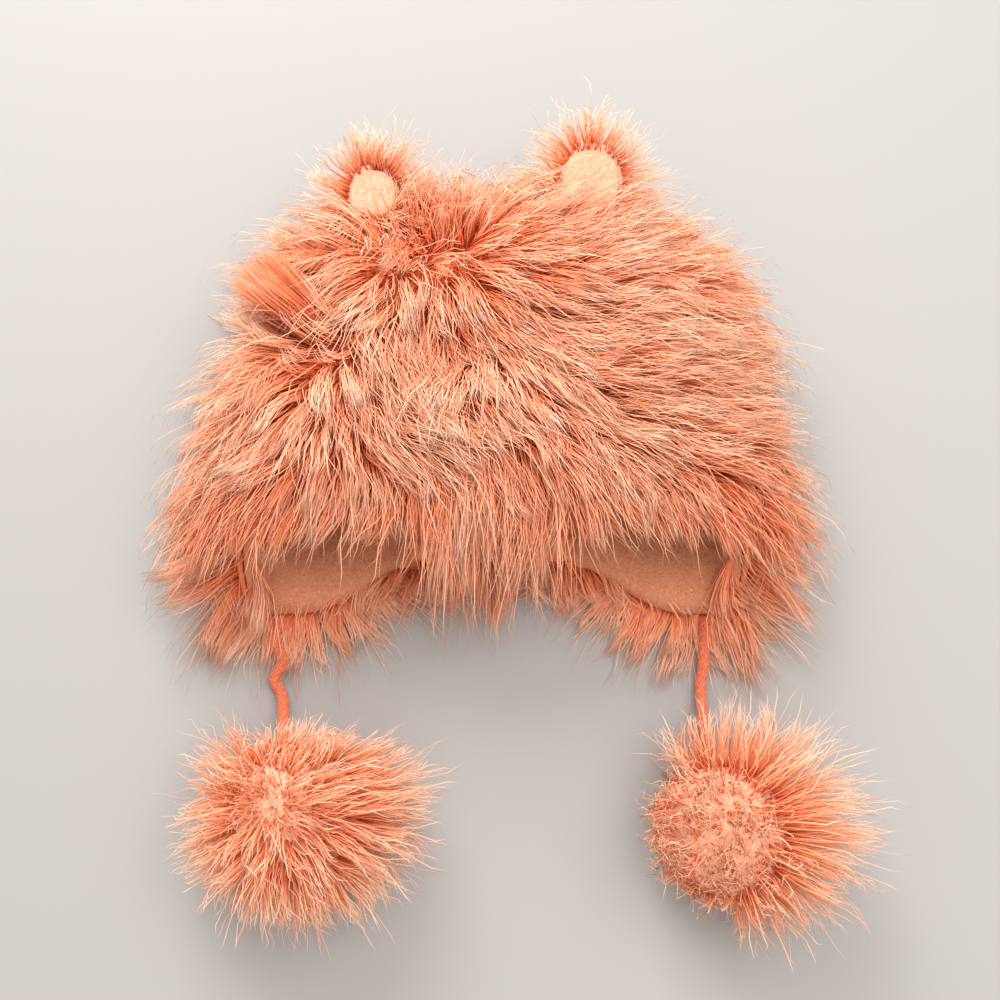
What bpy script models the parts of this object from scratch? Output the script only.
import math

import bmesh
import bpy
from mathutils import Matrix, Vector

# The hat lies on its back with its face side up. +Y runs to the crown's end and the ears,
# -Y to the hem, the flaps and the cords. The floor is at z = 0. Sizes are in metres.

# Cloth of the crown
half_width = 0.116
lying_height = 0.064
fold_height = 0.023
crown_end = 0.090
dome_start = 0.020
front_hem = -0.054
back_hem = -0.068
section_power = 2.4
plan_power = 2.5
belly_share = 1.8

# Walls and the clearance that sewn pieces keep
fur_wall = 0.003
pressed_pile = 0.005
lining_wall = 0.0025
lining_recess = 0.003
hem_band = 0.009
hem_fade = 0.025
seam_gap = 0.0003

# Fur
pile = 0.034
whorl_x = -0.008
whorl_y = 0.012
downward_comb = 1.6
uneven_share = 0.12
back_fringe = 0.022
rim_inset = 0.001
pile_lift = 0.55
pile_lean = 0.85
fringe_droop = 0.022
fringe_depth = 0.045
floor_clear = 0.0006
# A face this much below the fold or turned this far down has no locks
pressed_share = 0.7
turned_down = -0.5
facing_hem = -0.8

# Flaps
flap_length = 0.025
flap_end_width = 0.004
# Places round the hem, from 0 at the front middle to 1 at the back middle
flap_front = 0.44
flap_tip_column = 10
flap_tip_flat = 0.035
flap_inner = 0.87
flap_padding = 0.003
flap_fan = 0.050
flap_fan_limit = 0.5
rim_lift = 0.4
rim_lean = 0.5

# Ears
ear_width = 0.030
ear_length = 0.040
ear_thick = 0.009
ear_front_share = 0.25
ear_back_share = 0.75
ear_height = 0.043
ear_pitch = math.radians(8)
ear_pile = 0.013
ear_clear = 0.027
ear_power = 2.5
ear_middle = 0.45
ear_points = 12
ear_base_sizes = (0.3, 0.65, 1.0)
ear_shares = (0.30, 0.52, 0.72, 0.88, 0.98)
inner_ear_width = 0.023
inner_ear_length = 0.024
inner_ear_thick = 0.0022
inner_ear_base = 0.012
parting_width = 0.034
parting_push = 0.7

# Cords and pompoms
cord_diameter = 0.0055
cord_start_height = 0.0045
cord_point_spacing = 1.6
cord_seat_gap = 0.0008
cord_neck = 0.007
head_radius = 0.027
head_points = 10
head_angles = tuple(math.radians(angle) for angle in (34, 60, 85, 110, 135, 160))
pompom_pile = 0.027
pompom_droop = 0.006

# Mesh steps
columns = 32
straight_rows = 5
dome_angles = tuple(math.radians(angle) for angle in (20, 40, 58, 74, 86))
# Shares of a lock's lift and lean that it has at its middle, and its sizes there and at its tip
middle_lift = 0.65
middle_lean = 0.40
lock_middle_size = 0.74
lock_tip_size = 0.14

# Cloth sections from the hem to the dome, as shares of the half width and of the height
sections = (
    {"along": 0.00, "width": 1.00, "height": 0.82},
    {"along": 0.35, "width": 0.98, "height": 0.95},
    {"along": 0.70, "width": 0.94, "height": 1.00},
    {"along": 1.00, "width": 0.91, "height": 0.98},
)

# Dents and folds of the crown: the place and reach are shares of the half width and the
# crown's end, the depth a share of the way to the hat's middle line
dents = (
    {"name": "left crease", "x": -0.95, "y": 0.40, "wide": 0.45, "long": 0.18, "turn": 4, "depth": 0.20},
    {"name": "middle hollow", "x": -0.22, "y": 0.16, "wide": 0.30, "long": 0.24, "turn": 0, "depth": 0.24},
    {"name": "right dent", "x": 0.30, "y": 0.34, "wide": 0.20, "long": 0.14, "turn": 0, "depth": 0.14},
    {"name": "slanting fold", "x": 0.36, "y": -0.14, "wide": 0.12, "long": 0.50, "turn": 38, "depth": 0.15},
)

ears = (
    {"side": "left", "x": -0.055, "yaw": math.radians(5), "size": 1.0},
    {"side": "right", "x": 0.042, "yaw": math.radians(-10), "size": 1.2},
)

# Each cord's route on the floor, hand chosen, as steps from its flap's tip
cord_routes = {
    "left": (
        (-0.0004, -0.0060, 0.0040),
        (-0.0026, -0.0120, 0.0029),
        (0.0028, -0.0205, 0.0029),
        (-0.0012, -0.0295, 0.0029),
        (0.0030, -0.0380, 0.0030),
        (0.0032, -0.0470, 0.0062),
    ),
    "right": (
        (-0.0006, -0.0060, 0.0040),
        (-0.0013, -0.0125, 0.0029),
        (-0.0022, -0.0235, 0.0029),
        (-0.0040, -0.0350, 0.0030),
        (-0.0060, -0.0450, 0.0060),
    ),
}

# Pompom places as steps from the flap's tip, and the side to which the long hair lies
pompoms = {
    "left": {"x": 0.016, "y": -0.089, "long_side": (0.75, -0.45), "longer": 0.25},
    "right": {"x": -0.002, "y": -0.096, "long_side": (0.9, 0.1), "longer": 0.45},
}


def clear_scene():
    for thing in list(bpy.data.objects):
        bpy.data.objects.remove(thing, do_unlink=True)


def make_material(name, colour, roughness):
    material = bpy.data.materials.new(name)
    material.use_nodes = True
    surface = material.node_tree.nodes["Principled BSDF"]
    surface.inputs["Base Color"].default_value = (*colour, 1.0)
    surface.inputs["Roughness"].default_value = roughness
    surface.inputs["Metallic"].default_value = 0.0
    return material


def add_object(name, mesh, material):
    data = bpy.data.meshes.new(name)
    mesh.to_mesh(data)
    mesh.free()
    data.materials.append(material)
    thing = bpy.data.objects.new(name, data)
    bpy.context.collection.objects.link(thing)
    return thing


def signed_power(value, power):
    return math.copysign(abs(value) ** power, value)


def between(low, high, share):
    return low + (high - low) * share


def smooth_step(share):
    share = min(max(share, 0.0), 1.0)
    return share * share * (3 - 2 * share)


# Form of the cloth

def section_shares(along):
    for first, second in zip(sections, sections[1:]):
        if along <= second["along"]:
            share = (along - first["along"]) / (second["along"] - first["along"])
            width = between(first["width"], second["width"], share)
            height = between(first["height"], second["height"], share)
            return width, height
    return sections[-1]["width"], sections[-1]["height"]


def dent_pull(x, y):
    pull = 0.0
    fade = smooth_step((y - front_hem) / hem_fade)
    for dent in dents:
        step = Vector((x - dent["x"] * half_width, y - dent["y"] * crown_end))
        step.rotate(Matrix.Rotation(-math.radians(dent["turn"]), 2))
        across = step.x / (dent["wide"] * half_width)
        along = step.y / (dent["long"] * crown_end)
        pull += fade * dent["depth"] * math.exp(-across * across - along * along)
    return pull


def hem_line(column):
    middle = (front_hem + back_hem) / 2
    return middle + (front_hem - back_hem) / 2 * math.sin(column["angle"])


def flap_share(column):
    """How much of the flap's length the edge has at a column, 1 at the flap's tip."""
    tip = flap_tip_column / (columns / 2)
    if column["around"] < tip:
        share = (column["around"] - flap_front) / (tip - flap_tip_flat - flap_front)
        return smooth_step(share)
    share = (flap_inner - column["around"]) / (flap_inner - tip - flap_tip_flat)
    return min(max(share, 0.0), 1.0)


def flap_top_line(column):
    return hem_line(column) - seam_gap


def flap_line(column):
    top = flap_top_line(column)
    reach = between(top, back_hem - flap_length, flap_share(column))
    return min(reach, top - flap_end_width)


def flap_middle_line(column):
    return (flap_top_line(column) + flap_line(column)) / 2


def section_point(angle, half, top, belly, rise):
    power = 2 / section_power
    x = half * signed_power(math.cos(angle), power)
    if math.sin(angle) >= 0:
        return x, fold_height + top * math.sin(angle) ** power
    return x, max(rise, fold_height - belly * abs(math.sin(angle)) ** power)


def make_columns():
    """Columns spaced evenly round the hem: down the left side and back up the right."""
    steps = 720
    belly = fold_height * belly_share
    angles = [math.pi / 2 + math.pi * step / steps for step in range(steps + 1)]
    outline = [Vector(section_point(angle, half_width, lying_height - fold_height, belly, 0.0))
               for angle in angles]
    lengths = [0.0]
    for first, second in zip(outline, outline[1:]):
        lengths.append(lengths[-1] + (second - first).length)
    half = columns // 2
    left = []
    for index in range(half):
        around = (index + 0.5) / half
        place = next(step for step in range(steps) if lengths[step + 1] >= around * lengths[-1])
        left.append({"side": "left", "around": around, "angle": angles[place]})
    right = [{"side": "right", "around": column["around"], "angle": 3 * math.pi - column["angle"]}
             for column in reversed(left)]
    return left + right


def cloth_point(column, row, inset, rise, edge=hem_line):
    """A point of the cloth's surface, set in from the crown's outside by an inset."""
    angle = column["angle"]
    end = crown_end - inset - dome_start
    shrink = math.cos(row["dome"]) ** (2 / plan_power)
    y = dome_start + end * math.sin(row["dome"]) ** (2 / plan_power)
    y += row["hem"] * (edge(column) - dome_start)
    y += row.get("shift", 0.0)
    width, height = section_shares(1 - row["hem"])
    half = (half_width - inset) * width * shrink
    top = (lying_height - fold_height - inset) * height * shrink
    belly = (fold_height * belly_share - inset) * shrink
    x, z = section_point(angle, half, top, belly, rise)
    pull = dent_pull(x, y)
    if z > fold_height:
        return Vector((x * (1 - pull), y, fold_height + (z - fold_height) * (1 - pull)))
    return Vector((x * (1 - pull * z / fold_height), y, z))


def outward(point):
    """Unit direction away from the undented crown at a point."""
    dome = max(point.y - dome_start, 0.0) / (crown_end - dome_start)
    across = point.x / half_width
    up = max(point.z - fold_height, 0.0) / (lying_height - fold_height)
    direction = Vector((
        signed_power(across, section_power - 1) / half_width,
        dome ** (plan_power - 1) / (crown_end - dome_start),
        up ** (section_power - 1) / (lying_height - fold_height),
    ))
    return direction.normalized()


def cloth_rows():
    rows = [{"hem": 1 - step / straight_rows, "dome": 0.0} for step in range(straight_rows + 1)]
    rows += [{"hem": 0.0, "dome": angle} for angle in dome_angles]
    return rows


def inner_rows():
    """The rows that the crown's inside and both sides of the lining share."""
    rows = cloth_rows()
    return [rows[0], {"hem": 1.0, "dome": 0.0, "shift": hem_band}] + rows[1:]


def cloth_ring(row, inset, rise, edge=hem_line):
    return [cloth_point(column, row, inset, rise, edge) for column in make_columns()]


# Mesh tools

def closed_edges(mesh, ring):
    return [mesh.edges.get(pair) for pair in zip(ring, ring[1:] + ring[:1])]


def split_slanted(ring, grown_ring, forward):
    """Splits each side between two rings along the same slant all the way round."""
    for index in range(len(ring)):
        following = (index + 1) % len(ring)
        first = ring[index] if forward else ring[following]
        second = grown_ring[following] if forward else grown_ring[index]
        face = next(face for face in first.link_faces if second in face.verts)
        bmesh.utils.face_split(face, first, second)


def loft(mesh, rings, slants=()):
    """Extrudes the first ring through the others and closes both ends.

    slants says for each step whether its sides are split forwards, backwards or, with None,
    left whole, so that two walls that lie close together get the same folds.
    """
    ring = [mesh.verts.new(point) for point in rings[0]]
    mesh.faces.new(ring)
    edges = closed_edges(mesh, ring)
    rows = []
    for step, points in enumerate(rings[1:]):
        grown = bmesh.ops.extrude_edge_only(mesh, edges=edges)["geom"]
        fresh = {item for item in grown if isinstance(item, bmesh.types.BMVert)}
        grown_ring = [next(edge.other_vert(vert) for edge in vert.link_edges
                           if edge.other_vert(vert) in fresh) for vert in ring]
        for vert, point in zip(grown_ring, points):
            vert.co = point
        rows.append([item for item in grown if isinstance(item, bmesh.types.BMFace)])
        if step < len(slants) and slants[step] is not None:
            split_slanted(ring, grown_ring, slants[step])
        ring = grown_ring
        edges = closed_edges(mesh, ring)
    mesh.faces.new(ring)
    bmesh.ops.recalc_face_normals(mesh, faces=mesh.faces)
    return rows


def place_lock_ring(face, root, target, size):
    for vert in face.verts:
        vert.co = target + (vert.co - root) * size
        vert.co.z = max(vert.co.z, floor_clear)


def grow_locks(mesh, faces, comb):
    """Grows one tapered lock of fur from each face, in two steps along a bent path."""
    mesh.normal_update()
    for face in faces:
        root = face.calc_center_median()
        lift, lean = comb(root, face.normal.copy())
        middle = bmesh.ops.extrude_discrete_faces(mesh, faces=[face])["faces"][0]
        bend = lift * middle_lift + lean * middle_lean
        place_lock_ring(middle, root, root + bend, lock_middle_size)
        centre = middle.calc_center_median()
        tip = bmesh.ops.extrude_discrete_faces(mesh, faces=[middle])["faces"][0]
        place_lock_ring(tip, centre, root + lift + lean, lock_tip_size / lock_middle_size)


# Crown

def ear_parting(root):
    """Sideways turn of the fur away from the ears."""
    turn = 0.0
    for ear in ears:
        beside = (root.x - ear["x"]) / parting_width
        turn += parting_push * beside * math.exp(0.5 - beside * beside)
    return turn * smooth_step((root.y - dome_start) / (crown_end - dome_start) * 2 - 0.5)


def flow_away(root):
    """Level direction in which the fur lies, out from the whorl."""
    step = Vector((root.x - whorl_x, root.y - whorl_y, 0.0))
    if step.y < 0:
        step.y *= downward_comb
    away = step.normalized()
    away.x += ear_parting(root)
    return away


def uneven(root):
    return 1 + uneven_share * math.sin(root.x * 190 + root.y * 330) * math.cos(root.z * 210)


def comb_crown(root, normal):
    if normal.y < facing_hem:
        half_fringe = Vector((0.0, -back_fringe / 2, 0.0))
        return half_fringe, half_fringe
    away = flow_away(root)
    rise = outward(root)
    scale = pile * uneven(root) / (rise * pile_lift + away * pile_lean).length
    near_hem = min(max(1 - (root.y - front_hem) / fringe_depth, 0.0), 1.0)
    above = max(root.z - fold_height, 0.0) / (lying_height - fold_height)
    droop = Vector((0.0, 0.0, -fringe_droop * near_hem * above))
    return rise * pile_lift * scale, away * pile_lean * scale + droop


def near_an_ear(root):
    at_ear_height = fold_height < root.z < ear_height + ear_thick
    for ear in ears:
        beside = abs(root.x - ear["x"]) < ear_clear * ear["size"]
        if beside and at_ear_height and root.y > dome_start:
            return True
    return False


def has_lock(face):
    root = face.calc_center_median()
    on_floor = root.z < pressed_pile * pressed_share
    under = face.normal.z < turned_down
    return not (on_floor or under or near_an_ear(root))


def is_back_rim(face):
    """The hem's edge between the flaps, on the layer that lies on the floor."""
    ends = [column for column in make_columns() if flap_share(column) > 0]
    reach = min(abs(cloth_point(column, {"hem": 1.0, "dome": 0.0}, 0.0, 0.0).x)
                for column in ends if column["around"] > 0.5)
    root = face.calc_center_median()
    return abs(root.x) < reach and root.z < fold_height


def build_crown(material):
    mesh = bmesh.new()
    rows = cloth_rows()
    outer = [cloth_ring(row, 0.0, 0.0) for row in reversed(rows)]
    inner_rise = fur_wall + pressed_pile
    inner = [cloth_ring(row, fur_wall, inner_rise) for row in inner_rows()]
    slants = [None] * len(rows) + [True] * (len(inner) - 1)
    faces = loft(mesh, outer + inner, slants)
    fur_faces = [face for row in faces[:len(rows) - 1] for face in row if has_lock(face)]
    back_rim = [face for face in faces[len(rows) - 1] if is_back_rim(face)]
    bmesh.ops.inset_individual(mesh, faces=back_rim, thickness=rim_inset)
    grow_locks(mesh, fur_faces + back_rim, comb_crown)
    return add_object("crown", mesh, material)


# Lining

def lining_edge(column):
    """The lining stops short of the hem in front and reaches the flaps' edges below."""
    if flap_share(column) > 0:
        return flap_line(column)
    return flap_top_line(column) + lining_recess


def lining_inner_ring(row, inset, rise, edge, padding):
    ring = []
    for column in make_columns():
        depth = lining_wall + padding * smooth_step(flap_share(column) * 2)
        ring.append(cloth_point(column, row, inset + depth, rise + depth, edge))
    return ring


def build_lining(material):
    mesh = bmesh.new()
    inset = fur_wall + seam_gap
    rise = fur_wall + pressed_pile + seam_gap
    edge_row, band_row, *rows = inner_rows()
    outer = [cloth_ring(row, inset, rise) for row in reversed([band_row] + rows)]
    outer.append(cloth_ring(edge_row, inset, rise, lining_edge))
    inner = [lining_inner_ring(edge_row, inset, rise, lining_edge, 0.0)]
    inner.append(lining_inner_ring(band_row, inset, rise, hem_line, flap_padding))
    inner += [lining_inner_ring(row, inset, rise, hem_line, 0.0) for row in rows]
    loft(mesh, outer + inner, [False] * (len(outer) - 1))
    return add_object("lining", mesh, material)


# Flaps

def flap_columns(side):
    return [column for column in make_columns() if column["side"] == side and flap_share(column) > 0]


def flap_ring(column):
    row = {"hem": 1.0, "dome": 0.0}
    rise = fur_wall + pressed_pile
    lines = (flap_top_line, flap_middle_line, flap_line)
    outer = [cloth_point(column, row, 0.0, 0.0, line) for line in lines]
    inner = [cloth_point(column, row, fur_wall, rise, line) for line in reversed(lines)]
    return outer + inner


def flap_tip(side):
    """The middle of the flap's edge between the two columns at its tip, on the floor."""
    left = make_columns()[flap_tip_column - 1:flap_tip_column + 1]
    points = [cloth_point(column, {"hem": 1.0, "dome": 0.0}, 0.0, 0.0, flap_line) for column in left]
    middle = (points[0] + points[1]) / 2
    return Vector((middle.x if side == "left" else -middle.x, middle.y, 0.0))


def comb_flap(root, normal):
    away = flow_away(root)
    if normal.y < turned_down:
        tip = flap_tip("left" if root.x < 0 else "right")
        fan = min(max((root.x - tip.x) / flap_fan, -flap_fan_limit), flap_fan_limit)
        down = Vector((fan, -1.0, 0.0)).normalized()
        return down * pile * rim_lift, down * pile * rim_lean
    rise = outward(root)
    scale = pile / (rise * pile_lift + away * pile_lean).length
    return rise * pile_lift * scale, away * pile_lean * scale


def build_flap(side, material):
    mesh = bmesh.new()
    loft(mesh, [flap_ring(column) for column in flap_columns(side)])
    tip = flap_tip(side)
    fur_faces = []
    for face in mesh.faces:
        root = face.calc_center_median()
        at_cord = abs(root.x - tip.x) < cord_diameter
        is_rim = face.normal.y < turned_down and not at_cord
        is_side = abs(face.normal.y) < abs(turned_down) and root.z > pressed_pile * pressed_share
        faces_out = face.normal.dot(outward(root)) > 0
        if is_rim or (is_side and faces_out):
            fur_faces.append(face)
    grow_locks(mesh, fur_faces, comb_flap)
    return add_object("flap_" + side, mesh, material)


# Ears

def crown_level(point, gap):
    """1 on the crown's undented surface moved out by the gap, less inside, more outside."""
    dome = max(point.y - dome_start, 0.0) / (crown_end + gap - dome_start)
    across = abs(point.x) / (half_width * sections[-1]["width"] + gap)
    top = (lying_height - fold_height) * sections[-1]["height"] + gap
    up = abs(point.z - fold_height) / top
    section = (across ** section_power + up ** section_power) ** (1 / section_power)
    return (section ** plan_power + dome ** plan_power) ** (1 / plan_power)


def seat_on_crown(point, direction, gap):
    """The place on the line through a point where the crown's surface lies."""
    near = point - direction * ear_length
    far = point + direction * ear_length
    for _ in range(40):
        middle = (near + far) / 2
        if crown_level(middle, gap) < 1:
            near = middle
        else:
            far = middle
    return far


def ear_place(ear):
    start = Vector((ear["x"], crown_end, ear_height))
    seat = seat_on_crown(start, Vector((0.0, 1.0, 0.0)), seam_gap)
    turn = Matrix.Rotation(ear["yaw"], 4, "Z") @ Matrix.Rotation(ear_pitch, 4, "X")
    return Matrix.Translation(seat) @ turn @ Matrix.Scale(ear["size"], 4)


def ear_section(share):
    """Ring across the ear with a flat front face, at a share of its length."""
    half = ear_width / 2 * (1 - share ** ear_power) ** (1 / ear_power)
    ring = []
    for step in range(ear_points):
        angle = 2 * math.pi * step / ear_points
        depth = -ear_back_share * ear_thick * abs(math.sin(angle))
        if math.sin(angle) > 0:
            depth = ear_front() * min(2 * math.sin(angle), 1.0)
        ring.append(Vector((half * math.cos(angle), ear_length * share, depth)))
    return ring


def ear_front():
    return ear_front_share * ear_thick


def build_ear(ear, fur_material):
    mesh = bmesh.new()
    place = ear_place(ear)
    along = (place.to_3x3() @ Vector((0.0, 1.0, 0.0))).normalized()
    rings = []
    for size in ear_base_sizes:
        base = [seat_on_crown(place @ (point * size), along, seam_gap) for point in ear_section(0.0)]
        rings.append(base)
    rings += [[place @ point for point in ear_section(share)] for share in ear_shares]
    loft(mesh, rings)
    back = (place.to_3x3() @ Vector((0.0, 0.0, -1.0))).normalized()
    centre = place @ Vector((0.0, ear_length * ear_middle, 0.0))

    def comb_ear(root, normal):
        out = (root - centre) - back * back.dot(root - centre)
        out.normalize()
        return (out * 0.5 + back * 0.25) * ear_pile, (out * 0.5 + back * 0.1) * ear_pile

    lowest = (place @ Vector((0.0, ear_length * ear_shares[0], 0.0))).y
    fur_faces = [face for face in mesh.faces if face.normal.dot(back) > -0.8
                 and face.calc_center_median().y > lowest]
    grow_locks(mesh, fur_faces, comb_ear)
    return add_object("ear_" + ear["side"], mesh, fur_material)


def build_inner_ear(ear, material):
    mesh = bmesh.new()
    place = ear_place(ear)
    rings = []
    floor = ear_front() + seam_gap
    for share, size in ((0.0, 1.0), (0.6, 1.0), (1.0, 0.8)):
        ring = []
        for step in range(ear_points):
            angle = math.pi * step / (ear_points - 1)
            across = inner_ear_width / 2 * size * math.cos(angle)
            along = inner_ear_length * (0.3 + size * (math.sin(angle) ** 0.8 - 0.3))
            height = floor + inner_ear_thick * share
            ring.append(place @ Vector((across, inner_ear_base + along, height)))
        rings.append(ring)
    loft(mesh, rings)
    return add_object("inner_ear_" + ear["side"], mesh, material)


# Pompoms and cords

def cap_angle():
    return math.asin(cord_diameter * 0.8 / head_radius)


def pompom_centre(side):
    tip = flap_tip(side)
    pompom = pompoms[side]
    return Vector((tip.x + pompom["x"], tip.y + pompom["y"], head_radius + floor_clear))


def route_points(side):
    """The cord's route from the flap's tip to the flat spot on the pompom's head."""
    tip = flap_tip(side)
    points = [Vector((tip.x, tip.y - cord_seat_gap, cord_start_height))]
    points += [Vector((tip.x + x, tip.y + y, z)) for x, y, z in cord_routes[side]]
    centre = pompom_centre(side)
    inward = (centre - points[-1]).normalized()
    end = centre - inward * (head_radius * math.cos(cap_angle()) + cord_seat_gap)
    return points[:-1] + [end - inward * cord_neck, end], inward


def smooth_route(points, spacing):
    """Evenly spaced points of a smooth curve through the route's own points."""
    padded = [points[0] * 2 - points[1]] + points + [points[-1] * 2 - points[-2]]
    fine = []
    for index in range(1, len(padded) - 2):
        before, start, end, after = padded[index - 1:index + 3]
        for step in range(12):
            t = step / 12
            fine.append(((start * 2) + (end - before) * t
                         + (before * 2 - start * 5 + end * 4 - after) * t ** 2
                         + (start * 3 - before - end * 3 + after) * t ** 3) / 2)
    fine.append(points[-1])
    lengths = [0.0]
    for first, second in zip(fine, fine[1:]):
        lengths.append(lengths[-1] + (second - first).length)
    count = max(round(lengths[-1] / spacing), 2)
    route = []
    index = 0
    for step in range(count + 1):
        target = lengths[-1] * step / count
        while index < len(fine) - 2 and lengths[index + 1] < target:
            index += 1
        share = (target - lengths[index]) / (lengths[index + 1] - lengths[index])
        route.append(fine[index].lerp(fine[index + 1], share))
    return route


def build_cord(side, material):
    points, _ = route_points(side)
    route = smooth_route(points, cord_diameter * cord_point_spacing)
    data = bpy.data.curves.new("cord_" + side, "CURVE")
    data.dimensions = "3D"
    data.bevel_depth = cord_diameter / 2
    data.bevel_resolution = 3
    data.use_fill_caps = True
    spline = data.splines.new("POLY")
    spline.points.add(len(route) - 1)
    for point, place in zip(spline.points, route):
        point.co = (*place, 1.0)
    data.materials.append(material)
    thing = bpy.data.objects.new("cord_" + side, data)
    bpy.context.collection.objects.link(thing)
    return thing


def build_pompom(side, material):
    mesh = bmesh.new()
    centre = pompom_centre(side)
    _, inward = route_points(side)
    turn = inward.to_track_quat("-Z", "Y").to_matrix().to_4x4()
    place = Matrix.Translation(centre) @ turn
    rings = []
    for polar in (cap_angle(),) + head_angles:
        ring = []
        for step in range(head_points):
            angle = 2 * math.pi * step / head_points
            around = Vector((math.cos(angle), math.sin(angle), 0.0)) * math.sin(polar)
            ring.append(place @ ((around + Vector((0.0, 0.0, math.cos(polar)))) * head_radius))
        rings.append(ring)
    rows = loft(mesh, rings)
    pompom = pompoms[side]
    long_side = Vector((*pompom["long_side"], 0.0)).normalized()

    def comb_pompom(root, normal):
        out = root - centre
        out.z = max(out.z, 0.0)
        out.normalize()
        length = pompom_pile * (1 + pompom["longer"] * out.dot(long_side))
        droop = Vector((0.0, 0.0, -pompom_droop * max(out.z, 0.0)))
        return out * length * 0.5, out * length * 0.5 + droop

    neck_faces = set(rows[0])
    fur_faces = []
    for face in mesh.faces:
        is_cap = len(face.verts) > 4 and face.normal.dot(inward) < 0
        low_neck = face in neck_faces and face.normal.z < 0.55
        if not (is_cap or low_neck or face.normal.z < -0.55):
            fur_faces.append(face)
    grow_locks(mesh, fur_faces, comb_pompom)
    return add_object("pompom_" + side, mesh, material)


def build_hat():
    clear_scene()
    fur = make_material("peach_fur", (0.80, 0.31, 0.17), 0.9)
    fleece = make_material("beige_fleece", (0.72, 0.43, 0.30), 0.95)
    yarn = make_material("coral_cord", (0.79, 0.24, 0.11), 0.85)
    build_crown(fur)
    build_lining(fleece)
    for ear in ears:
        build_ear(ear, fur)
        build_inner_ear(ear, fleece)
    for side in ("left", "right"):
        build_flap(side, fur)
        build_cord(side, yarn)
        build_pompom(side, fur)


build_hat()
